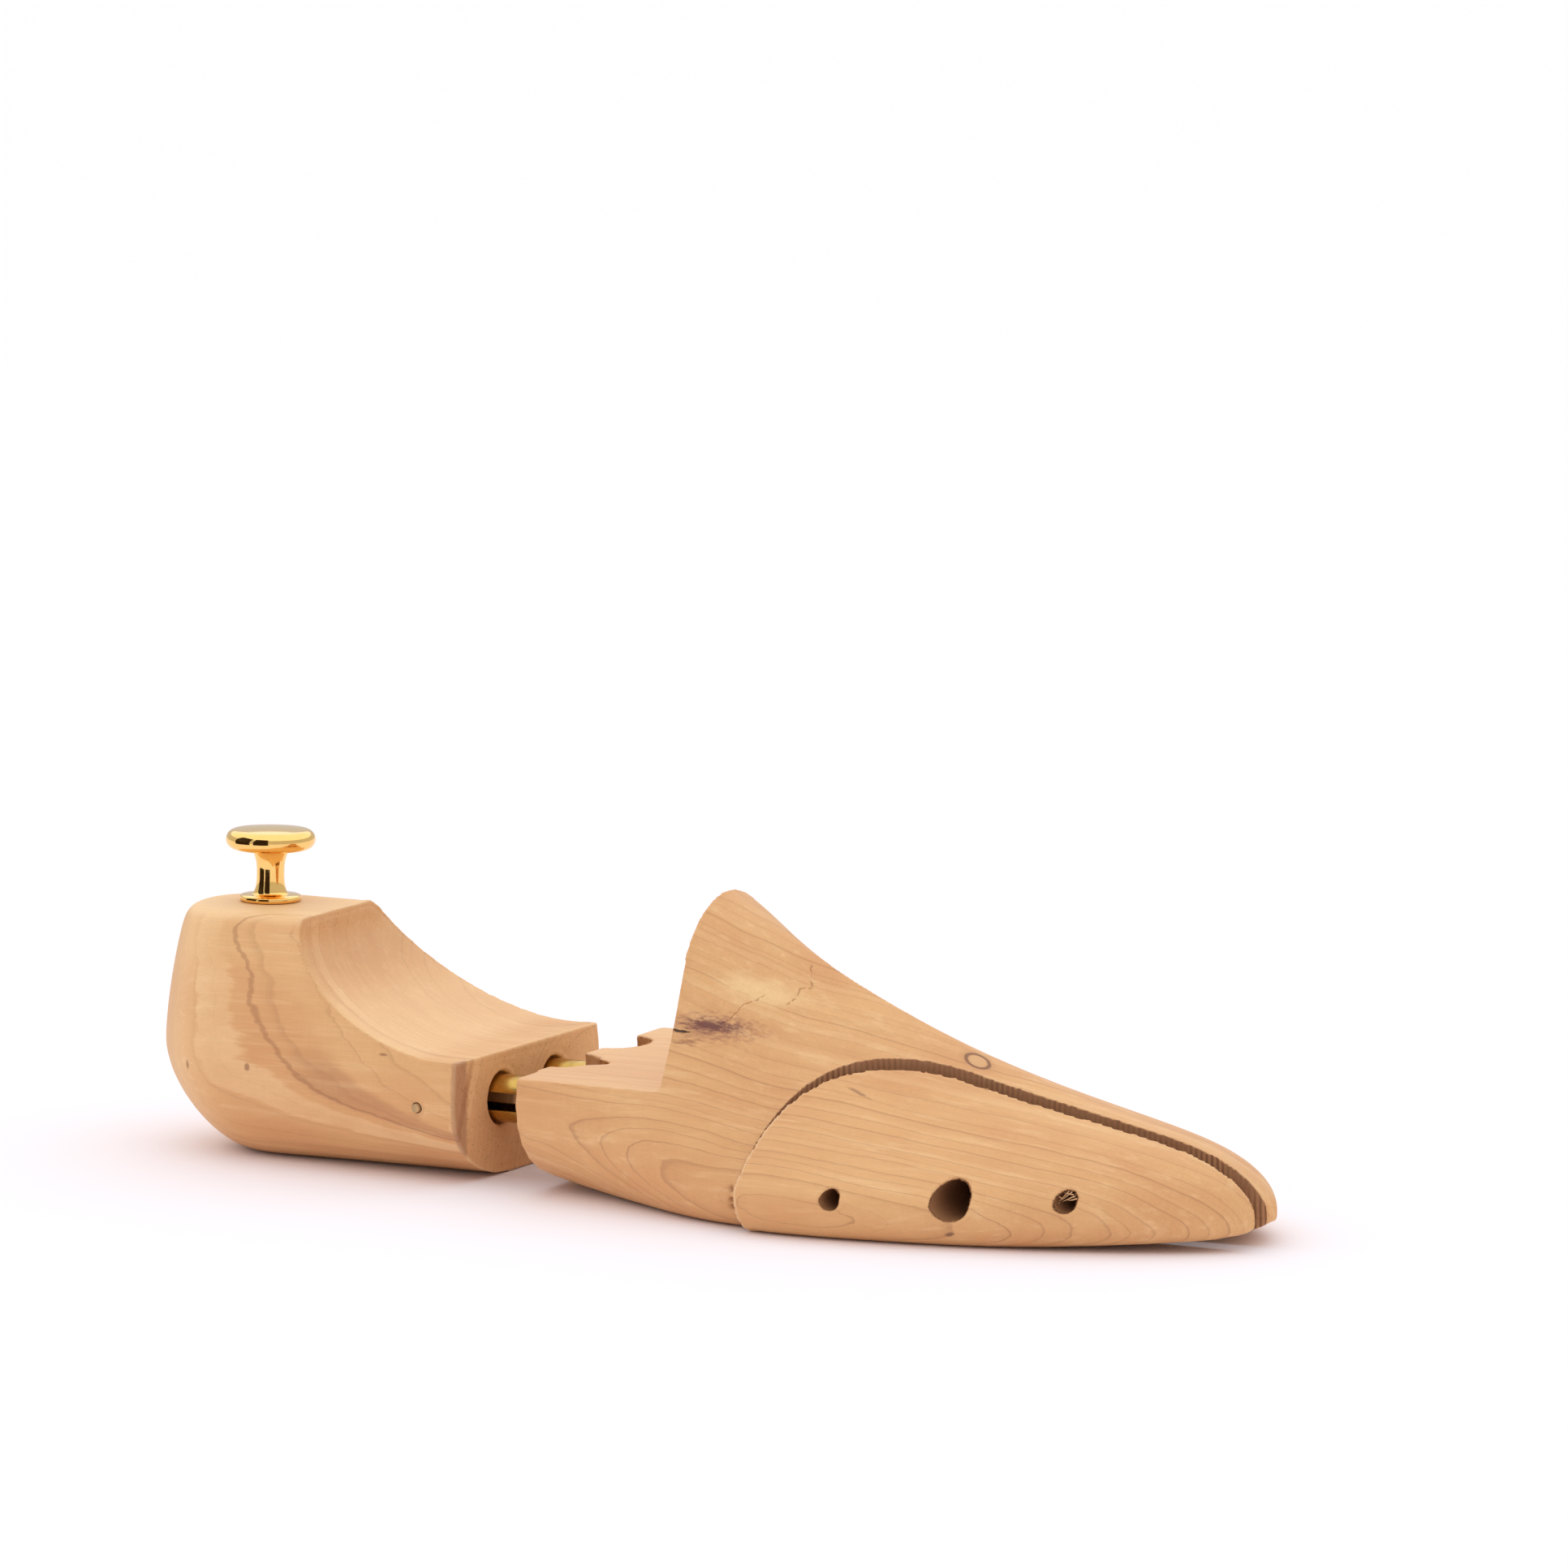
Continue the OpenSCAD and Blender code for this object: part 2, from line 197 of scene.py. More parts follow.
def dense_block(node, crisp=None):
    """A block in small even faces, its corners eased and its facets smoothed away.

    crisp(points) is 1 where corners are left sharp.
    """
    dense = evaluated(merged_copy(node), ("REMESH", {"mode": "VOXEL", "voxel_size": VOXEL * MM}))
    eased = smoothed(dense, 5)
    points, soft = points_of(eased), points_of(smoothed(dense, 70))
    moved = np.linalg.norm(soft - points, axis=1)
    points += (soft - points) * smoothstep(0.5, 0.2, moved)[:, None]
    if crisp:
        sharp = points_of(smoothed(dense, 1))
        points += (sharp - points) * crisp(sharp)[:, None]
    put_points(eased, points)
    return eased


def refine(mesh, wanted):
    """Cuts in half each edge with both ends wanted, so that faces inside the wanted part become four."""
    shape = bmesh.new()
    shape.from_mesh(mesh)
    edges = [e for e in shape.edges if wanted[e.verts[0].index] and wanted[e.verts[1].index]]
    bmesh.ops.subdivide_edges(shape, edges=edges, cuts=1, use_grid_fill=True)
    shape.to_mesh(mesh)
    shape.free()
    mesh.update()


def cut_place(points, margin=0.0, shift=0.0):
    """Distance off the split cut and length along it, both in the plan view."""
    x, y = points[:, 0], points[:, 1] + shift
    rx = CUT_TURN[0] - CUT_START[0] - margin
    ry = CUT_TURN[1] - margin - CUT_START[1]
    u, v = (CUT_TURN[0] - x) / rx, (y - CUT_START[1]) / ry
    angles = np.linspace(0, math.pi / 2, 200)
    pieces = np.hypot(np.diff(rx * np.cos(angles)), np.diff(ry * np.sin(angles)))
    arc = np.concatenate([[0], np.cumsum(pieces)])
    on_arc = x < CUT_TURN[0]
    off = np.where(
        on_arc,
        (np.hypot(u, v) - 1) * 0.5 * (rx + ry),
        y - (CUT_TURN[1] - margin + (x - CUT_TURN[0]) * CUT_SLOPE),
    )
    along = np.where(on_arc, np.interp(np.arctan2(v, u), angles, arc), arc[-1] + x - CUT_TURN[0])
    return off, along


def cut_slope(points, margin=0.0, shift=0.0):
    """Distance off the cut, and how fast it grows along x and along y."""
    step = 0.05
    off, _ = cut_place(points, margin, shift)
    gx = (cut_place(points + np.array([step, 0, 0]), margin, shift)[0] - off) / step
    gy = (cut_place(points + np.array([0, step, 0]), margin, shift)[0] - off) / step
    return off, gx, gy


def across_cut(points, normals, margin=0.0, shift=0.0):
    """1 on the flat of a cut wall, falling to 0 at its corners."""
    off, gx, gy = cut_slope(points, margin, shift)
    facing = np.abs(normals[:, 0] * gx + normals[:, 1] * gy) / np.hypot(gx, gy)
    return smoothstep(0.72, 0.95, facing) * smoothstep(0.9, 0.35, np.abs(off))


def snapped_to_cut(points, margin=0.0, shift=0.0):
    """Points close to a cut wall moved onto it, so that its corners are sharp."""
    for _ in range(2):
        off, gx, gy = cut_slope(points, margin, shift)
        pull = np.where(np.abs(off) < SNAP, off, 0) / (gx * gx + gy * gy)
        points = points - np.stack([gx * pull, gy * pull, np.zeros(len(off))], 1)
    return points


def snapped_to_holes(points, reach):
    """Points close to a hole's wall moved onto it, so that its rim is sharp and round."""
    for x, z, d in HOLES:
        out = points[:, [0, 2]] - (x, z)
        r = np.maximum(np.linalg.norm(out, axis=1), 0.1)
        pull = np.where(np.abs(r - d / 2) < reach, d / 2 - r, 0)
        points[:, [0, 2]] += out * (pull / r)[:, None]
    return points


def above_floor(points):
    points[:, 2] = np.maximum(points[:, 2], CAD_BOX[0][2] / MM)
    return points


def off_line(points, line):
    """Distance from each point to a broken line."""
    best = np.full(len(points), 1e9)
    for a, b in zip(np.array(line), np.array(line[1:])):
        t = np.clip((points - a) @ (b - a) / ((b - a) @ (b - a)), 0, 1)
        best = np.minimum(best, np.linalg.norm(points - a - t[:, None] * (b - a), axis=1))
    return best


def lathe(name, profile, steps, place):
    """A solid of revolution from (radius, height) pairs that start and end on the axis."""
    mesh = bpy.data.meshes.new(name)
    shape = bmesh.new()
    rings = []
    for radius, height in profile:
        if radius < 1e-6:
            rings.append([shape.verts.new(place(0, 0, height))])
        else:
            turn = [2 * math.pi * k / steps for k in range(steps)]
            ring = [place(radius * math.cos(a), radius * math.sin(a), height) for a in turn]
            rings.append([shape.verts.new(point) for point in ring])
    for low, high in zip(rings, rings[1:]):
        for k in range(steps):
            m = (k + 1) % steps
            corners = [low[k % len(low)], low[m % len(low)], high[m % len(high)], high[k % len(high)]]
            unique = list(dict.fromkeys(corners))
            if len(unique) > 2:
                shape.faces.new(unique)
    for face in shape.faces:
        face.smooth = True
    bmesh.ops.recalc_face_normals(shape, faces=shape.faces)
    shape.to_mesh(mesh)
    shape.free()
    return mesh


def tube_faces(base, spans, sides):
    """The faces of a tube whose rings of points follow each other from the base index."""
    return [
        (base + i * sides + j, base + i * sides + (j + 1) % sides,
         base + (i + 1) * sides + (j + 1) % sides, base + (i + 1) * sides + j)
        for i in range(spans) for j in range(sides)
    ]


def helix(name, length, mean_r, wire_d, turns, place):
    """A coil spring with about one closed turn at each end."""
    mesh = bpy.data.meshes.new(name)
    sides, per_turn = 12, 40
    total = turns * per_turn
    t = np.arange(total + 1) / total
    closed_turns, closed_pitch = 1.1, 1.02 * wire_d
    closed, last = closed_turns / turns, length - wire_d
    closed_rise = closed_turns * closed_pitch
    rise = np.interp(t, [0, closed, 1 - closed, 1], [0, closed_rise, last - closed_rise, last])
    verts = []
    for k in range(total + 1):
        a = 2 * math.pi * k / per_turn
        for j in range(sides):
            b = 2 * math.pi * j / sides
            r = mean_r + wire_d / 2 * math.cos(b)
            height = wire_d / 2 + rise[k] + wire_d / 2 * math.sin(b)
            verts.append(place(r * math.cos(a), r * math.sin(a), height))
    faces = tube_faces(0, total, sides)
    faces += [tuple(range(sides)), tuple(total * sides + j for j in reversed(range(sides)))]
    mesh.from_pydata(verts, [], faces)
    mesh.polygons.foreach_set("use_smooth", [True] * len(mesh.polygons))
    mesh.update()
    return mesh


# ---------------------------------------------------------------- materials

class Look:
    """One material and the short calls that build its nodes."""

    def __init__(self, name):
        self.material = bpy.data.materials.new(name)
        self.material.use_nodes = True
        self.tree = self.material.node_tree
        self.tree.nodes.clear()
        self.shader = self.tree.nodes.new("ShaderNodeBsdfPrincipled")
        output = self.tree.nodes.new("ShaderNodeOutputMaterial")
        self.tree.links.new(self.shader.outputs[0], output.inputs[0])
        self.coords = self.tree.nodes.new("ShaderNodeTexCoord")
        self.mm = self.scaled(self.coords.outputs["Object"], 1 / MM)
        self.place = self.mm

    def put(self, socket, value):
        if isinstance(value, bpy.types.NodeSocket):
            self.tree.links.new(value, socket)
        elif isinstance(value, tuple) and len(value) == 3 and socket.type == "RGBA":
            socket.default_value = (*value, 1)
        else:
            socket.default_value = value

    def math(self, kind, a, b=0.0):
        node = self.tree.nodes.new("ShaderNodeMath")
        node.operation = kind
        self.put(node.inputs[0], a)
        self.put(node.inputs[1], b)
        return node.outputs[0]

    def scaled(self, vector, factor):
        node = self.tree.nodes.new("ShaderNodeVectorMath")
        if isinstance(factor, tuple):
            node.operation = "MULTIPLY"
            self.put(node.inputs[1], factor)
        else:
            node.operation = "SCALE"
            self.put(node.inputs["Scale"], factor)
        self.put(node.inputs[0], vector)
        return node.outputs[0]

    def moved(self, vector, by):
        node = self.tree.nodes.new("ShaderNodeVectorMath")
        node.operation = "ADD"
        self.put(node.inputs[0], vector)
        self.put(node.inputs[1], by)
        return node.outputs[0]

    def xyz(self, vector):
        node = self.tree.nodes.new("ShaderNodeSeparateXYZ")
        self.put(node.inputs[0], vector)
        return node.outputs[0], node.outputs[1], node.outputs[2]

    def noise(self, vector, scale, detail=2.0, rough=0.5):
        node = self.tree.nodes.new("ShaderNodeTexNoise")
        self.put(node.inputs["Vector"], self.scaled(vector, scale) if isinstance(scale, tuple) else vector)
        self.put(node.inputs["Scale"], 1.0 if isinstance(scale, tuple) else scale)
        self.put(node.inputs["Detail"], detail)
        self.put(node.inputs["Roughness"], rough)
        return node.outputs[0]

    def spread(self, fac, amount):
        """A 0 to 1 noise as plus or minus half the amount."""
        return self.math("MULTIPLY", self.math("SUBTRACT", fac, 0.5), amount)

    def step(self, value, low, high):
        node = self.tree.nodes.new("ShaderNodeMapRange")
        node.interpolation_type = "SMOOTHSTEP"
        self.put(node.inputs[0], value)
        self.put(node.inputs[1], low)
        self.put(node.inputs[2], high)
        return node.outputs[0]

    def band(self, value, low, high, soft):
        """1 between low and high, falling to 0 over the soft distance outside."""
        return self.math("MULTIPLY", self.step(value, low - soft, low), self.step(value, high + soft, high))

    def mix(self, fac, a, b, kind="MIX"):
        node = self.tree.nodes.new("ShaderNodeMix")
        node.data_type, node.blend_type = "RGBA", kind
        self.put(node.inputs[0], fac)
        self.put(node.inputs[6], a)
        self.put(node.inputs[7], b)
        return node.outputs[2]

    def painted(self, name):
        node = self.tree.nodes.new("ShaderNodeAttribute")
        node.attribute_name = name
        return node.outputs["Fac"]

    def spot(self, centre, radii, wobble=None, amount=0.0):
        """Distance from a centre in units of its radii, 1 on the edge."""
        place = self.scaled(self.moved(self.mm, tuple(-c for c in centre)), tuple(1 / r for r in radii))
        node = self.tree.nodes.new("ShaderNodeVectorMath")
        node.operation = "LENGTH"
        self.put(node.inputs[0], place)
        far = node.outputs["Value"]
        return self.math("ADD", far, self.spread(wobble, amount)) if wobble is not None else far

    def tilted_spot(self, centre, along, length, width, wobble, amount):
        """Distance from a streak's centre, 1 on its edge, with along as its direction on a side face."""
        place = self.moved(self.place, tuple(-c for c in centre))
        sideways = Vector(along).cross(Vector((0.25, -1, 0.35))).normalized()
        u = self.math("DIVIDE", self.dot(place, tuple(along)), length)
        v = self.math("DIVIDE", self.dot(place, tuple(sideways)), width)
        far = self.math("SQRT", self.math("ADD", self.math("MULTIPLY", u, u), self.math("MULTIPLY", v, v)))
        far = self.math("ADD", far, self.math("MULTIPLY", self.step(self.xyz(place)[1], 9, 12), 9.0))
        return self.math("ADD", far, self.spread(wobble, amount))

    def dot(self, a, b):
        node = self.tree.nodes.new("ShaderNodeVectorMath")
        node.operation = "DOT_PRODUCT"
        self.put(node.inputs[0], a)
        self.put(node.inputs[1], b)
        return node.outputs["Value"]

    def noise_along(self, value, detail=2.0):
        """Noise that varies along one number."""
        node = self.tree.nodes.new("ShaderNodeTexNoise")
        node.noise_dimensions = "1D"
        self.put(node.inputs["W"], value)
        self.put(node.inputs["Scale"], 1.0)
        self.put(node.inputs["Detail"], detail)
        return node.outputs[0]

    def bump(self, height, strength, distance_mm):
        node = self.tree.nodes.new("ShaderNodeBump")
        self.put(node.inputs["Strength"], strength)
        self.put(node.inputs["Distance"], distance_mm * MM)
        self.put(node.inputs["Height"], height)
        self.tree.links.new(node.outputs[0], self.shader.inputs["Normal"])


def rgb(r, g, b):
    """A display colour, 0 to 255, as linear light."""
    return tuple(((c / 255 + 0.055) / 1.055) ** 2.4 if c > 10 else c / 255 / 12.92 for c in (r, g, b))


EARLY = rgb(227, 176, 121)
LATE = rgb(160, 106, 74)
PALE = rgb(248, 211, 160)
ROSE = rgb(219, 161, 109)
UMBER = rgb(150, 100, 68)


def wood(
    name, pith, spacing, turn_x, slopes_before, slopes_after, wander, banding, lines, marks, shift_y=0.0,
):
    """Wood with growth rings round a pith line that bends at turn_x.

    banding is how far the tone follows the rings, lines how dark the ring lines are, and marks(look) adds
    what only this block shows.
    """
    look = Look(name)
    place = look.moved(look.mm, (0, shift_y, 0)) if shift_y else look.mm
    look.place = place
    wide = look.noise(place, (0.012, 0.03, 0.03), 2)
    fine = look.noise(place, (0.06, 0.16, 0.16), 3, 0.55)
    tiny = look.noise(place, (0.25, 1.1, 1.1), 2)
    x, y, z = look.xyz(place)
    before = look.math("MINIMUM", look.math("SUBTRACT", x, turn_x), 0)
    after = look.math("MAXIMUM", look.math("SUBTRACT", x, turn_x), 0)
    centre = []
    for base, k0, k1 in zip(pith, slopes_before, slopes_after):
        drift = look.math("ADD", look.math("MULTIPLY", before, k0), look.math("MULTIPLY", after, k1))
        centre.append(look.math("ADD", drift, base))
    dy, dz = look.math("SUBTRACT", y, centre[0]), look.math("SUBTRACT", z, centre[1])
    radius = look.math("SQRT", look.math("ADD", look.math("MULTIPLY", dy, dy), look.math("MULTIPLY", dz, dz)))
    for noise, amount in ((wide, wander), (fine, 1.3), (tiny, 0.14)):
        radius = look.math("ADD", radius, look.spread(noise, amount))
    look.radius = radius

    uneven = look.noise_along(look.math("MULTIPLY", radius, 0.16))
    count = look.math("ADD", look.math("DIVIDE", radius, spacing), look.spread(uneven, 3.0))
    part = look.math("FRACT", count)
    each = look.tree.nodes.new("ShaderNodeTexWhiteNoise")
    each.noise_dimensions = "1D"
    look.put(each.inputs["W"], look.math("FLOOR", count))
    rise = look.math("POWER", part, 4.0)
    sharp = look.math("MULTIPLY", look.step(part, 0.87, 0.965), look.step(part, 0.995, 0.975))
    weight = look.math("ADD", look.math("MULTIPLY", each.outputs[0], 0.8), 0.2)
    line = look.math("ADD", look.math("MULTIPLY", sharp, lines), look.math("MULTIPLY", rise, 0.10))
    ring = look.math("MULTIPLY", line, weight)

    # Tone that follows the rings, long streaks and broad patches
    tone = look.noise_along(look.math("MULTIPLY", radius, 0.30), 2)
    blotch = look.noise(place, (0.018, 0.05, 0.05), 3, 0.55)
    streak = look.noise(place, (0.014, 0.5, 0.5), 3, 0.6)
    fibre = look.noise(place, (0.12, 3.2, 3.2), 3, 0.65)
    fleck = look.noise(place, (1.6, 0.3, 0.12), 2, 0.6)
    colour = look.mix(look.step(blotch, 0.35, 0.68), EARLY, ROSE)
    colour = look.mix(look.math("MULTIPLY", look.step(tone, 0.50, 0.75), banding), colour, PALE)
    colour = look.mix(look.math("MULTIPLY", look.step(tone, 0.50, 0.25), banding), colour, rgb(200, 144, 100))
    colour = look.mix(look.math("MULTIPLY", look.step(streak, 0.5, 0.75), 0.3), colour, PALE)
    look.colour = look.mix(ring, colour, LATE)
    grain = look.math("ADD", look.math("MULTIPLY", look.spread(fibre, 1.0), 0.20), 1.0)
    grain = look.math("ADD", grain, look.spread(fleck, 0.07))
    marks(look)

    normal_x = look.math("ABSOLUTE", look.xyz(look.coords.outputs["Normal"])[0])
    end = look.step(normal_x, 0.80, 0.97)
    pores = look.tree.nodes.new("ShaderNodeTexVoronoi")
    look.put(pores.inputs["Vector"], look.scaled(place, (0.05, 1.0, 1.0)))
    look.put(pores.inputs["Scale"], 1.1)
    dots = look.math("MULTIPLY", look.step(pores.outputs["Distance"], 0.24, 0.10), end)
    colour = look.mix(look.math("MULTIPLY", end, 0.75), look.colour, rgb(252, 242, 234), "MULTIPLY")
    end_ring = look.math("MULTIPLY", end, look.math("MULTIPLY", ring, 0.35))
    colour = look.mix(end_ring, colour, rgb(164, 118, 88))
    colour = look.mix(look.math("MULTIPLY", dots, 0.5), colour, rgb(120, 78, 52))

    sawn, torn = look.painted("sawn"), look.painted("torn")
    # Painted shade of the saw's ridges: the sawn colour is darkened and lightened in stripes, one per ridge
    # along the cut.
    ridge_shade = look.math("DIVIDE", look.painted("along"), WASHBOARD_PITCH / (2 * math.pi))
    ridge_shade = look.math("SINE", look.math("ADD", ridge_shade, look.spread(fine, 5.0)))
    ridge_shade = look.math("ADD", look.math("MULTIPLY", ridge_shade, 0.38), 0.5)
    sawn_colour_and_ridge_shade = look.mix(ridge_shade, rgb(118, 74, 52), rgb(176, 122, 88))
    colour = look.mix(look.math("MULTIPLY", sawn, 0.92), colour, sawn_colour_and_ridge_shade)
    # Torn fibres are brown; near 1 the layer turns to a painted shade, dark brown, which only the insides of
    # the side block's holes reach.
    torn_colour_and_hole_shade = look.mix(look.step(torn, 0.7, 0.95), rgb(178, 122, 80), rgb(96, 58, 38))
    colour = look.mix(look.math("MULTIPLY", look.step(torn, 0.0, 0.6), 0.9), colour, torn_colour_and_hole_shade)
    # Paler on the step's top face and on the splinters, and a painted highlight along the side block's edge
    # at the seam.
    colour = look.mix(look.math("MULTIPLY", look.painted("fresh"), 0.7), colour, rgb(240, 200, 154))
    colour = look.mix(look.painted("split"), colour, rgb(150, 102, 66))
    shaded = look.tree.nodes.new("ShaderNodeVectorMath")
    shaded.operation = "SCALE"
    look.put(shaded.inputs[0], colour)
    look.put(shaded.inputs["Scale"], grain)
    look.put(look.shader.inputs["Base Color"], shaded.outputs[0])
    raw = look.math("MAXIMUM", look.math("MAXIMUM", end, sawn), torn)
    rough = look.math("ADD", 0.50, look.math("MULTIPLY", raw, 0.3))
    look.put(look.shader.inputs["Roughness"], look.math("ADD", rough, look.spread(fibre, 0.14)))
    look.put(look.shader.inputs["Specular IOR Level"], 0.32)
    height = look.math("ADD", look.math("MULTIPLY", fibre, 0.7), look.math("MULTIPLY", ring, -0.5))
    height = look.math("ADD", height, look.math("MULTIPLY", dots, -1.6))
    look.bump(height, 0.35, 0.12)
    return look.material


def heel_marks(look):
    """Pale sapwood, a painted highlight that lightens the top face, dark streaks low on the side that are
    partly the wood's own and partly painted shade, the dark front edge, flecks and the pin's outline.
    """
    x, y, z = look.xyz(look.place)
    normal_x = look.math("ABSOLUTE", look.xyz(look.coords.outputs["Normal"])[0])
    ragged = look.noise(look.place, (0.05, 0.4, 0.4), 4, 0.65)
    cloud = look.noise(look.place, (0.02, 0.05, 0.05), 3, 0.6)
    level = look.math("ADD", look.radius, look.spread(ragged, 1.8))
    patchy = look.step(cloud, 0.3, 0.7)
    streak = look.math("MULTIPLY", look.band(level, 65.2, 67.0, 0.5), look.math("MULTIPLY", patchy, 0.5))
    look.colour = look.mix(streak, look.colour, PALE)
    hollow = look.math("MULTIPLY", look.step(x, 24, 40), look.step(normal_x, 0.05, 0.25))
    look.colour = look.mix(look.math("MULTIPLY", hollow, 0.4), look.colour, PALE)
    # Painted light: the top face is mixed towards pale as though lit from above.
    look.colour = look.mix(look.math("MULTIPLY", look.step(z, 56.5, 59.0), 0.6), look.colour, PALE)
    behind = look.math("MULTIPLY", look.step(x, 6, -14), 0.5)
    look.colour = look.mix(behind, look.colour, PALE)
    # Darker low on the side along one ring: partly the wood's own brown streak, partly painted shade,
    # strongest towards the bottom.
    low = look.math("MULTIPLY", look.band(look.radius, 68.4, 69.6, 0.7), look.step(x, 20, 36))
    low = look.math("MULTIPLY", low, look.step(z, 34, 24))
    low = look.math("MULTIPLY", low, look.math("ADD", look.math("MULTIPLY", ragged, 0.6), 0.15))
    look.colour = look.mix(low, look.colour, rgb(182, 126, 88))
    thin = look.band(look.radius, 68.2, 68.3, 0.12)
    look.colour = look.mix(look.math("MULTIPLY", thin, 0.4), look.colour, rgb(150, 96, 66))
    for centre, radii in (
        ((52.1, -33.1, 30.3), (1.6, 2, 0.5)),
        ((13.1, -32, 24), (1.0, 2, 1.2)),
        ((-5.7, -29.6, 22.6), (0.8, 2, 1.6)),
    ):
        dot = look.step(look.spot(centre, radii, ragged, 0.6), 1.0, 0.4)
        look.colour = look.mix(look.math("MULTIPLY", dot, 0.7), look.colour, UMBER)
    dull = look.math("MULTIPLY", look.step(x, 42, 22), look.step(normal_x, 0.4, 0.8))
    look.colour = look.mix(look.math("MULTIPLY", dull, 0.5), look.colour, rgb(206, 156, 108))
    shore = look.math("ADD", y, look.spread(ragged, 3))
    edge = look.math("MULTIPLY", look.step(shore, -28.0, -30.0), look.step(x, 71.0, 72.6))
    look.colour = look.mix(look.math("MULTIPLY", edge, 0.6), look.colour, rgb(160, 112, 84))
    outline = look.band(look.spot((62.0, -34.3, TUBE_Z), (1.3, 6, 1.3)), 0.88, 1.0, 0.1)
    look.colour = look.mix(look.math("MULTIPLY", outline, 0.85), look.colour, rgb(96, 66, 40))


def forepart_marks(look):
    """A resin stain, a pale torn patch and a small knot."""
    ragged = look.noise(look.place, (0.3, 1.3, 1.7), 5, 0.75)
    blur = look.noise(look.place, (0.07, 0.25, 0.35), 4, 0.6)
    streaky = look.noise(look.place, (0.05, 1.0, 1.4), 3, 0.6)
    patch = look.tilted_spot((147.5, -21.5, 51.5), (0.93, 0.32, -0.18), 12.5, 3.4, blur, 1.3)
    pale = look.step(patch, 1.25, 0.35)
    pale = look.math("MULTIPLY", pale, look.math("ADD", look.math("MULTIPLY", streaky, 0.5), 0.35))
    look.colour = look.mix(pale, look.colour, rgb(250, 214, 158))
    for centre, length, width, low, high, depth, colour in (
        ((139.6, -31.0, 43.6), 10.0, 3.2, 1.5, 0.0, 0.75, rgb(160, 106, 84)),
        ((139.8, -31.0, 44.0), 6.4, 1.6, 1.3, 0.2, 0.85, rgb(108, 64, 62)),
        ((134.5, -33.0, 39.9), 3.2, 0.8, 1.1, 0.3, 0.55, rgb(140, 86, 62)),
        ((132.6, -33.0, 42.4), 2.6, 0.45, 1.1, 0.6, 0.9, rgb(52, 30, 26)),
    ):
        stain = look.step(look.tilted_spot(centre, (0.99, 0.1, 0.02), length, width, ragged, 3.4), low, high)
        look.colour = look.mix(look.math("MULTIPLY", stain, depth), look.colour, colour)
    knot = look.tilted_spot((197.5, -8.8, 37.0), (0.91, -0.18, -0.375), 3.5, 1.6, blur, 0.35)
    for where, depth, colour in (
        (look.step(knot, 1.7, 0.9), 0.35, rgb(186, 134, 94)),
        (look.band(knot, 0.84, 0.98, 0.14), 0.75, rgb(118, 78, 58)),
        (look.step(knot, 0.8, 0.6), 0.55, rgb(228, 182, 130)),
    ):
        look.colour = look.mix(look.math("MULTIPLY", where, depth), look.colour, colour)


def toe_marks(look):
    """A dark dash and a fleck."""
    ragged = look.noise(look.place, (0.3, 1.2, 1.2), 3, 0.6)
    dash = look.tilted_spot((178.0, -26.6, 31.1), (0.94, -0.05, -0.33), 3.9, 0.55, ragged, 1.3)
    dash = look.math("MULTIPLY", look.step(dash, 1.1, 0.3), 0.6)
    look.colour = look.mix(dash, look.colour, rgb(140, 98, 76))
    spot = look.tilted_spot((208.6, -40.8, 3.5), (0.94, 0.0, 0.33), 1.3, 0.5, ragged, 0.8)
    spot = look.math("MULTIPLY", look.step(spot, 1.1, 0.4), 0.7)
    look.colour = look.mix(spot, look.colour, rgb(110, 76, 64))


def metal(name, colour, roughness, speckle, metallic=1.0):
    """Polished or dull metal with faint wear."""
    look = Look(name)
    wear = look.noise(look.mm, 0.35, 4, 0.6)
    scratch = look.noise(look.mm, (0.4, 4.0, 4.0), 3, 0.6)
    tint = look.mix(look.step(wear, 0.35, 0.75), colour, tuple(c * (1 - speckle) for c in colour))
    look.put(look.shader.inputs["Base Color"], tint)
    look.put(look.shader.inputs["Metallic"], metallic)
    uneven = look.math("ADD", look.spread(wear, 1.0), look.spread(scratch, 0.6))
    rough = look.math("ADD", roughness, look.math("MULTIPLY", uneven, speckle))
    look.put(look.shader.inputs["Roughness"], look.math("MAXIMUM", rough, 0.02))
    look.bump(scratch, 0.04 + speckle * 0.15, 0.03)
    return look.material


# The forepart and the side block are sawn from one piece of wood, so their rings meet when the kerf is shut
FOREPART_GROWTH = dict(
    pith=(-57.0, 8.0), spacing=2.1, turn_x=150.0, slopes_before=(0.0, -0.18), slopes_after=(0.08, -0.12),
    wander=7.0, banding=0.16, lines=0.42,
)
HEEL_GROWTH = dict(
    pith=(34.0, 17.0), spacing=2.3, turn_x=0.0, slopes_before=(0.0, -0.28), slopes_after=(0.0, -0.28),
    wander=2.2, banding=0.07, lines=0.26,
)
HEEL_WOOD = wood("heel_wood", **HEEL_GROWTH, marks=heel_marks)
FOREPART_WOOD = wood("forepart_wood", **FOREPART_GROWTH, marks=forepart_marks)
TOE_WOOD = wood("toe_wood", **FOREPART_GROWTH, marks=toe_marks, shift_y=TOE_TRAVEL)
GOLD = metal("polished_gold", rgb(250, 205, 124), 0.08, 0.05)
BRASS = metal("dull_brass", rgb(205, 168, 88), 0.26, 0.25)
STEEL = metal("bright_steel", rgb(190, 190, 192), 0.25, 0.15)
PIN_END = metal("dull_pin", rgb(214, 176, 128), 0.55, 0.25, metallic=0.3)
SPRING = metal("spring_steel", rgb(150, 152, 158), 0.3, 0.15)


# ---------------------------------------------------------------- wooden blocks

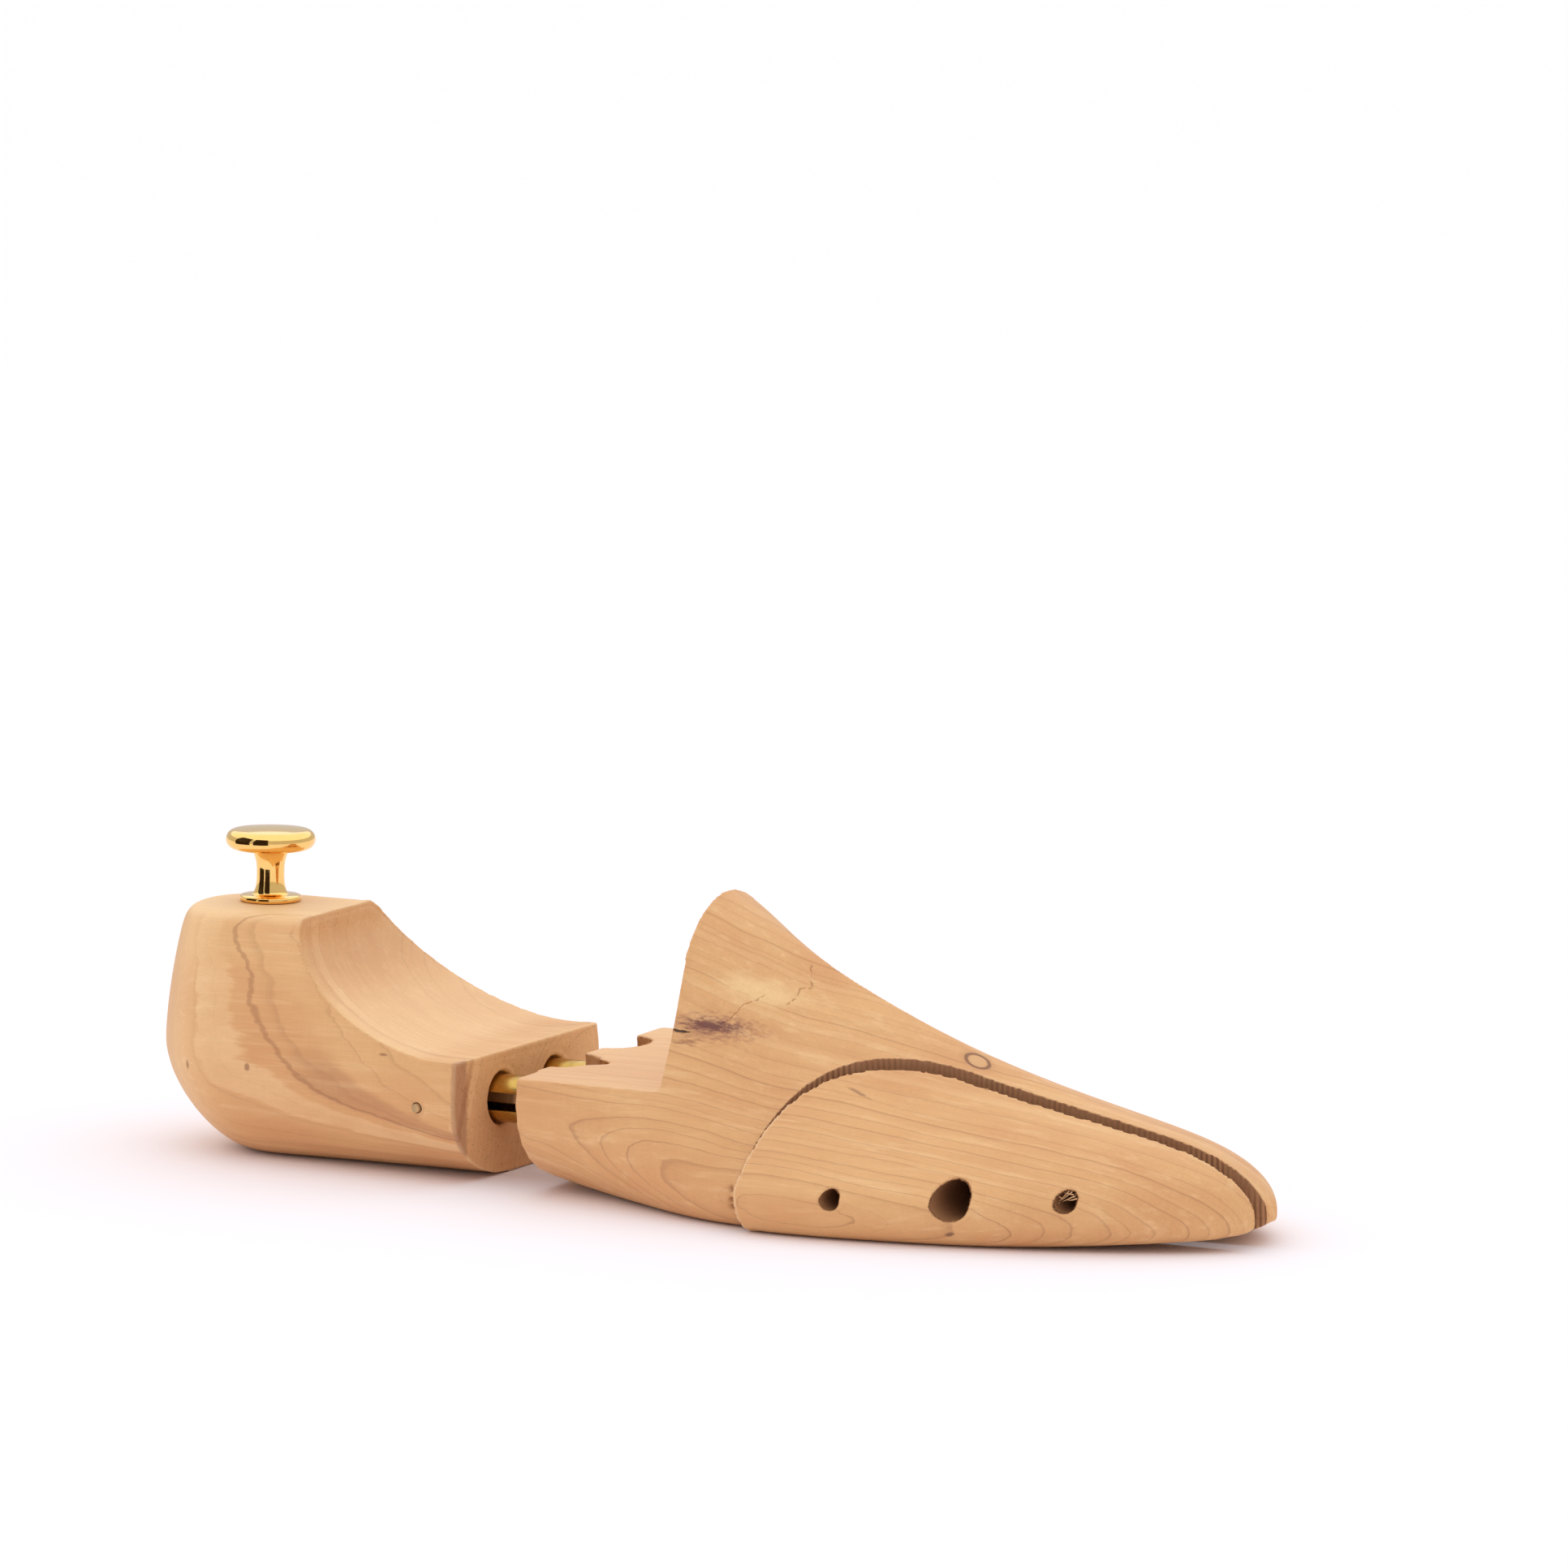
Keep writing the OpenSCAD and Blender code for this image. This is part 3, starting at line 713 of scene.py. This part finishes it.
def heel():
    """The heel block, with small pits in its sawn front."""
    mesh = dense_block("heel_block")
    p, n = points_of(mesh), normals_of(mesh)
    front = smoothstep(HEEL_FRONT_X - 0.8, HEEL_FRONT_X - 0.1, p[:, 0]) * (n[:, 0] > 0.6)
    wave = 0.10 * (lattice(p * 0.045, 3) + 1)
    pit = 0.12 * np.clip(lattice(p * np.array([0.2, 1.2, 1.2]), 5) - 0.1, 0, 1) * front
    put_points(mesh, p - n * (wave + pit)[:, None])
    finish_wood(mesh)
    show("heel_block_wood", mesh, "heel", "heel_wood", HEEL_WOOD, "heel_block")


def washboard(along, z, seed):
    """Height of the saw's ridges on a kerf wall, 0 to 1."""
    spots = np.stack([along * 0.35, z * 0.12, np.zeros(len(z))], 1)
    phase = along / WASHBOARD_PITCH + 0.25 * lattice(spots * 0.5, seed) + z * 0.012
    fine = lattice(np.stack([along * 1.7, z * 0.25, np.zeros(len(z))], 1), seed + 1)
    return 0.42 - 0.42 * np.cos(2 * math.pi * phase) + 0.08 * (fine + 1)


def hand_sanding(p, seed):
    """Depth of the broad shallow waves that hand sanding leaves."""
    return 0.08 * (lattice(p * 0.04, seed) + 1)


CHIP_X, CHIPS = 154.6, ((9.8, 1.1), (7.2, 0.9), (5.4, 0.7))
CRACKS = (
    (
        (154.0, -7.0, 57.8), (154.3, -8.8, 55.6), (156.3, -12.5, 51.4),
        (154.3, -14, 51.4), (154.2, -16.6, 49.1), (152.8, -18.7, 48.1),
    ),
    (
        (148.2, -20.6, 50.3), (147.2, -22.3, 49.3), (145.1, -24.7, 48.3),
        (144.1, -26.7, 46.6), (142.3, -29.3, 44.2),
    ),
)


def forepart():
    """The main block, with its ridged cut, torn notches, cracks and chips."""
    mesh = dense_block("forepart_block", lambda q: smoothstep(1.8, 0.9, np.abs(cut_place(q)[0])))
    put_points(mesh, snapped_to_cut(points_of(mesh)))
    off, _ = cut_place(points_of(mesh))
    refine(mesh, np.abs(off) < 0.9)
    for reach in (1.6, 1.1, 0.8):
        p = points_of(mesh)
        refine(mesh, np.min([off_line(p, line) for line in CRACKS], axis=0) < reach)
    p, n = points_of(mesh), normals_of(mesh)
    off, along = cut_place(p)
    wall = across_cut(p, n)
    ridges = washboard(along, p[:, 2], 11)
    notch = np.zeros(len(p))
    for side in (-1, 1):
        r = np.hypot(p[:, 0] - FOREPART_REAR_X + 0.4, p[:, 1] - side * TUBE_Y)
        open_side = (p[:, 2] > TUBE_Z + 4) * (p[:, 0] > FOREPART_REAR_X - 0.5) * (p[:, 2] < STEP_Z + 2.5)
        notch = np.maximum(notch, smoothstep(1.0, 0.3, np.abs(r - 8.0)) * open_side)
    low_level = (p[:, 2] < STEP_Z + 2.6) * (p[:, 2] > STEP_Z - 0.6)
    step_top = low_level * (p[:, 0] < WALL_X + 0.3) * (n[:, 2] > 0.8)
    deep = RIDGE_DEPTH * (ridges - 0.5) * wall + hand_sanding(p, 23) * (1 - wall)
    deep = deep + 0.3 * (lattice(p * np.array([0.9, 0.9, 1.6]), 17) + 1) * notch
    wiggly = p + 0.35 * np.stack([lattice(p * 1.3, 51), np.zeros(len(p)), lattice(p * 1.3, 53)], 1)
    crack = np.min([off_line(wiggly, line) for line in CRACKS], axis=0)
    deep = deep + 0.14 * smoothstep(0.26, 0.05, crack)
    # Splinters lost beside the seam
    for cz, height in CHIPS:
        u = (p[:, 0] - CHIP_X) / 0.9
        v = (p[:, 2] - cz + 0.4 * lattice(p * 1.7, 29)) / height
        chip = smoothstep(1.1, 0.5, np.hypot(u, v)) * (n[:, 1] < -0.5)
        deep = deep + 0.7 * chip
        notch = np.maximum(notch, chip)
    put_points(mesh, above_floor(p - n * deep[:, None]))
    finish_wood(
        mesh,
        # The sawn colour is strongest on the ridges' crests: the wall's own colour with painted shade of the
        # ridges.
        sawn=wall * (0.7 + 0.3 * ridges),
        along=along,
        torn=notch * 0.6,
        fresh=0.5 * step_top,
        split=0.5 * smoothstep(0.24, 0.08, crack),
    )
    show("forepart_block_wood", mesh, "forepart", "forepart_wood", FOREPART_WOOD, "forepart_block")


def toe_side():
    """The side block; returns how far out the front hole's rim is."""
    def crisp(q):
        rims = [np.abs(np.hypot(q[:, 0] - x, q[:, 2] - z) - d / 2) for x, z, d in HOLES]
        to_cut = np.abs(cut_place(q, KERF, TOE_TRAVEL)[0])
        return smoothstep(1.8, 0.9, np.minimum(to_cut, np.min(rims, axis=0)))

    def near_holes(q, room):
        return np.any([np.hypot(q[:, 0] - x, q[:, 2] - z) < d / 2 + room for x, z, d in HOLES], axis=0)

    mesh = dense_block("toe_side_block", crisp)
    put_points(mesh, snapped_to_holes(snapped_to_cut(points_of(mesh), KERF, TOE_TRAVEL), HOLE_SNAP))
    p = points_of(mesh)
    off, _ = cut_place(p, KERF, TOE_TRAVEL)
    refine(mesh, (np.abs(off) < 0.9) | (near_holes(p, 3.0) & (p[:, 1] < -28)))
    p = points_of(mesh)
    refine(mesh, near_holes(p, 1.4) & (p[:, 1] < -30))
    put_points(mesh, snapped_to_holes(points_of(mesh), FINE_HOLE_SNAP))
    p, n = points_of(mesh), normals_of(mesh)
    off, along = cut_place(p, KERF, TOE_TRAVEL)
    wall = across_cut(p, n, KERF, TOE_TRAVEL)
    ridges = washboard(along, p[:, 2], 31)
    deep = RIDGE_DEPTH * (ridges - 0.5) * wall + hand_sanding(p, 37) * (1 - wall)
    torn = np.zeros(len(p))
    hole_shade = np.zeros(len(p))
    sink = np.zeros(len(p))
    for k, (x, z, d) in enumerate(HOLES):
        dx, dz = p[:, 0] - x, p[:, 2] - z
        r, a = np.hypot(dx, dz), np.arctan2(dz, dx)
        coarse = lattice(np.stack([3 * np.cos(a) + 9 * k, 7 * np.sin(a), r * 0.4], 1), 41)
        sharp = lattice(np.stack([9 * np.cos(a), 22 * np.sin(a), r * 0 + k], 1), 43)
        leftward = 0.35 + 0.65 * smoothstep(0.3, -0.6, np.cos(a))
        reach = (0.05 + 0.2 * np.clip(0.5 * coarse + sharp + 0.1, 0, 2)) * leftward * (0.7, 1.0, 1.8)[k]
        lip = smoothstep(1.0, 0.35, (r - d / 2) / reach) * (n[:, 1] < -0.2)
        sink = np.maximum(sink, lip * (0.25, 0.4, 0.8)[k])
        torn = np.maximum(torn, lip)
        # Painted shade: each hole's wall and the edge of its rim are marked for the dark brown of shade
        # inside the hole.
        hole_shade = np.maximum(hole_shade, (r < d / 2 + 0.1) * smoothstep(-0.35, 0.1, n[:, 1]))
    moved = p - n * deep[:, None]
    moved[:, 1] += sink
    # The seam is all but shut where it comes down the flank
    shut = SEAM_CLOSING * smoothstep(SEAM_OPEN_X, SEAM_SHUT_X, p[:, 0]) * smoothstep(2.4, 0.6, np.abs(off))
    moved[:, 0] += shut * SEAM_CLOSING_WAY[0]
    moved[:, 1] += shut * SEAM_CLOSING_WAY[1]
    put_points(mesh, above_floor(moved))
    x, z, d = HOLES[2]
    rim = (np.abs(np.hypot(p[:, 0] - x, p[:, 2] - z) - d / 2) < 0.8) & (n[:, 1] < -0.5)
    mouth_y = float(np.median(p[rim, 1]))
    # Painted highlight: a pale line along the side block's edge, low on the flank where the seam is nearly
    # shut.
    corner = smoothstep(0.75, 0.3, np.abs(off)) * (1 - wall) * smoothstep(170, SEAM_SHUT_X, p[:, 0])
    finish_wood(
        mesh,
        # The sawn colour is strongest on the ridges' crests: the wall's own colour with painted shade of the
        # ridges.
        sawn=wall * (0.7 + 0.3 * ridges),
        along=along,
        # torn holds the lips' torn fibres and the painted shade inside the holes.
        torn=np.maximum(torn * 0.45, hole_shade * 0.95),
        fresh=corner,
    )
    show("toe_side_block_wood", mesh, "toe_side", "toe_wood", TOE_WOOD, "toe_side_block")
    return mouth_y


def splinters(mouth_y):
    """Torn fibres left across the mouth of the front guide hole."""
    x, z, d = HOLES[2]
    verts, faces = [], []
    sides, rings = 6, 9
    # Each fibre's place round the rim and heading in degrees, length and thickness
    fibres = (
        (35, 200, 2.9, 0.26), (62, 215, 3.6, 0.22), (18, 190, 2.2, 0.30), (80, 238, 2.4, 0.20),
        (48, 170, 1.9, 0.24), (150, 335, 1.6, 0.22), (200, 20, 1.3, 0.2),
    )
    for k, (start, heading, length, thick) in enumerate(fibres):
        a, b = math.radians(start), math.radians(heading)
        root = np.array([x + d / 2 * 1.05 * math.cos(a), mouth_y + 0.75, z + d / 2 * 1.05 * math.sin(a)])
        base = len(verts)
        for i in range(rings):
            t = i / (rings - 1)
            bend = 0.5 * math.sin(2.2 * t + k)
            centre = root + np.array([
                length * t * math.cos(b + 0.3 * bend),
                -0.9 * math.sin(math.pi * 0.55 * t) + 0.35 * t * (k % 3 - 1),
                length * t * math.sin(b + 0.3 * bend) + 0.25 * bend,
            ])
            r = thick * (1 - 0.86 * t ** 1.4)
            for j in range(sides):
                c = 2 * math.pi * j / sides
                flat = 1.0 if j % 3 else 0.6
                spoke = np.array([-math.sin(b) * math.cos(c), math.sin(c), math.cos(b) * math.cos(c)])
                verts.append(tuple((centre + spoke * r * flat) * MM))
        faces += tube_faces(base, rings - 1, sides)
        faces.append(tuple(base + j for j in reversed(range(sides))))
        faces.append(tuple(base + (rings - 1) * sides + j for j in range(sides)))
    mesh = bpy.data.meshes.new("splinters")
    mesh.from_pydata(verts, [], faces)
    mesh.update()
    count = len(mesh.vertices)
    finish_wood(mesh, torn=np.full(count, 0.35), fresh=np.full(count, 0.45))
    show("toe_hole_splinters", mesh, "toe_side", "toe_wood", TOE_WOOD)


# ---------------------------------------------------------------- metal

def knob():
    lean = math.radians(1)

    def place(x, y, z):
        return (
            (x * math.cos(lean) + z * math.sin(lean)) * MM,
            y * MM,
            (HEEL_TOP_Z - x * math.sin(lean) + z * math.cos(lean)) * MM,
        )

    foot, waist, disc, rim, top = 7.5, 3.4, 11.0, 2.4, 17.98
    disc_z = top - rim - 0.5
    quarter = [math.pi / 2 * i / 18 for i in range(19)]
    flare = foot - 2.8 - waist
    profile = [(0, 0), (foot - 0.3, 0), (foot - 0.08, 0.12), (foot, 0.4)]
    profile += [(foot, 1.0), (foot - 0.12, 1.25), (foot - 0.5, 1.4), (foot - 2.0, 1.52)]
    profile += [(waist + flare * (1 - math.sin(a)), 1.6 + 4.6 * (1 - math.cos(a))) for a in quarter]
    profile += [(waist + 2.6 * (1 - math.cos(a)), 7.4 + (disc_z - 9.4) * math.sin(a)) for a in quarter[1:]]
    for a in (math.radians(-80 + 160 * i / 28) for i in range(29)):
        profile.append((disc - rim + rim * math.cos(a), disc_z + rim * math.sin(a)))
    edge_r, edge_z = profile[-1]
    for t in (i / 12 for i in range(1, 13)):
        profile.append((edge_r * (1 - t), edge_z + (top - edge_z) * (1 - (1 - t) ** 2)))
    show("pull_knob_gold", lathe("pull_knob", profile, 128, place), "heel", "knob_brass", GOLD, "knob")


def small_metal(name, node, body, slot, material, bevel_mm):
    """A metal part as in the CAD, with its corners eased."""
    bevel = {"width": bevel_mm * MM, "segments": 2, "limit_method": "ANGLE", "angle_limit": math.radians(50)}
    mesh = evaluated(merged_copy(node), ("BEVEL", bevel))
    mesh.polygons.foreach_set("use_smooth", [True] * len(mesh.polygons))
    mesh.set_sharp_from_angle(angle=math.radians(32))
    show(name, mesh, body, slot, material, node)


def springs():
    """The two springs in the heel's bores and the one behind the side block."""
    start_x, length, mean_r, wire_d, turns = -5.95, 38.9, 5.1, 1.2, 10
    for side, word in ((-1, "lateral"), (1, "medial")):
        def place(a, b, c, y=side * TUBE_Y):
            return ((start_x + c) * MM, (y + a) * MM, (TUBE_Z + b) * MM)

        coil = helix(word, length, mean_r, wire_d, turns, place)
        piece = show(word + "_spring", coil, "heel", "spring_steel", SPRING, word + "_heel_spring")
        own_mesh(piece)
    low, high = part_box("toe_spring")
    x, z, _ = HOLES[1]
    length = (high.y - low.y) / MM

    def toe_place(a, b, c):
        return ((x + a) * MM, high.y - c * MM, (z + b) * MM)

    coil = helix("toe", length, 3.3, 1.0, 6, toe_place)
    piece = show("toe_return_spring", coil, "forepart", "spring_steel", SPRING, "toe_spring")
    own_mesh(piece)


heel()
forepart()
splinters(toe_side())
knob()
small_metal("lateral_tube_brass", "lateral_tube", "tubes", "tube_brass", BRASS, 0.15)
small_metal("medial_tube_brass", "medial_tube", "tubes", "tube_brass", BRASS, 0.15)
springs()
for node, material in (
    ("heel_cross_pin", PIN_END), ("hinge_pin", STEEL), ("knob_stud", STEEL), ("toe_screw", STEEL),
    ("toe_washer", STEEL), ("rear_guide_pin", STEEL), ("front_guide_pin", STEEL),
):
    NODES[node].data.materials.clear()
    NODES[node].data.materials.append(material)


# ---------------------------------------------------------------- stage, light and camera

def flat(name, centre, across, up, material, hidden=False):
    """A flat sheet on the stage."""
    mesh = bpy.data.meshes.new(name)
    c, a, u = Vector(centre), Vector(across), Vector(up)
    mesh.from_pydata([c - a - u, c + a - u, c + a + u, c - a + u], [], [(0, 1, 2, 3)])
    mesh.materials.append(material)
    sheet = bpy.data.objects.new(name, mesh)
    bpy.context.scene.collection.objects.link(sheet)
    if hidden:
        sheet.visible_camera = sheet.visible_diffuse = sheet.visible_shadow = False


def plain(name, colour):
    """A matt material of one colour."""
    look = Look(name)
    look.put(look.shader.inputs["Base Color"], (*colour, 1))
    look.put(look.shader.inputs["Roughness"], 0.9)
    look.put(look.shader.inputs["Specular IOR Level"], 0.1)
    return look.material


floor_z = CAD_BOX[0][2]
flat("floor", (0, 0, floor_z), (30, 0, 0), (0, 30, 0), plain("floor_white", (0.95, 0.90, 0.94)))

world = bpy.data.worlds.new("studio")
world.use_nodes = True
world.node_tree.nodes["Background"].inputs[0].default_value = (1, 1, 1, 1)
world.node_tree.nodes["Background"].inputs[1].default_value = 0.66
bpy.context.scene.world = world


# A soft panel on the camera's left
panel = bpy.data.lights.new("left", "AREA")
panel.shape, panel.size, panel.energy = "SQUARE", 0.8, 1.5
panel_holder = bpy.data.objects.new("left", panel)
panel_holder.location = (-1.1, -0.9, 0.75)
panel_aim = Vector((0.1, 0, 0.03)) - panel_holder.location
panel_holder.rotation_euler = panel_aim.to_track_quat("-Z", "Y").to_euler()
panel_holder.visible_camera = False
bpy.context.scene.collection.objects.link(panel_holder)

# A very broad overhead light that covers the whole floor
sun = bpy.data.lights.new("overhead", "SUN")
sun.energy, sun.angle = 1.45, math.radians(120)
sun_holder = bpy.data.objects.new("overhead", sun)
sun_holder.rotation_euler = Vector((0.08, -0.2, -1)).to_track_quat("-Z", "Y").to_euler()
bpy.context.scene.collection.objects.link(sun_holder)

AZIMUTH, ELEVATION = math.radians(30.3), math.radians(10)
CAMERA_DISTANCE = 1.65
AIM_RIGHT, AIM_UP = 0.0617, 0.0732
back = Vector((
    math.sin(AZIMUTH) * math.cos(ELEVATION),
    -math.cos(AZIMUTH) * math.cos(ELEVATION),
    math.sin(ELEVATION),
))
right = Vector((math.cos(AZIMUTH), math.sin(AZIMUTH), 0))
up = back.cross(right)
anchor = Vector((HEEL_FRONT_X, 0, TUBE_Z)) * MM
camera = bpy.data.cameras.new("camera")
camera.sensor_width = 36
camera.lens = 157.4
camera.dof.use_dof = False
holder = bpy.data.objects.new("camera", camera)
holder.location = anchor + back * CAMERA_DISTANCE
aim = anchor + right * AIM_RIGHT + up * AIM_UP
holder.rotation_euler = (aim - holder.location).to_track_quat("-Z", "Y").to_euler()
bpy.context.scene.collection.objects.link(holder)
bpy.context.scene.camera = holder
bpy.context.scene.view_settings.view_transform = "Standard"

# Dark cards that only mirrors see, left of the camera, to shape the polished knob
CARD_DISTANCE, CARD_MIDDLE_Z, CARD_HALF_HEIGHT = 0.28, 0.2, 0.199
level_back = Vector((back.x, back.y, 0)).normalized()
for turn, half_width in ((24, 0.10), (76, 0.12)):
    t = math.radians(turn)
    toward = level_back * math.cos(t) - right * math.sin(t)
    across = Vector((-toward.y, toward.x, 0)) * half_width
    centre = toward * CARD_DISTANCE + Vector((0, 0, CARD_MIDDLE_Z))
    dark = plain("card_dark_%d" % turn, (0.03, 0.018, 0.01))
    flat("card_%d" % turn, centre, across, (0, 0, CARD_HALF_HEIGHT), dark, hidden=True)
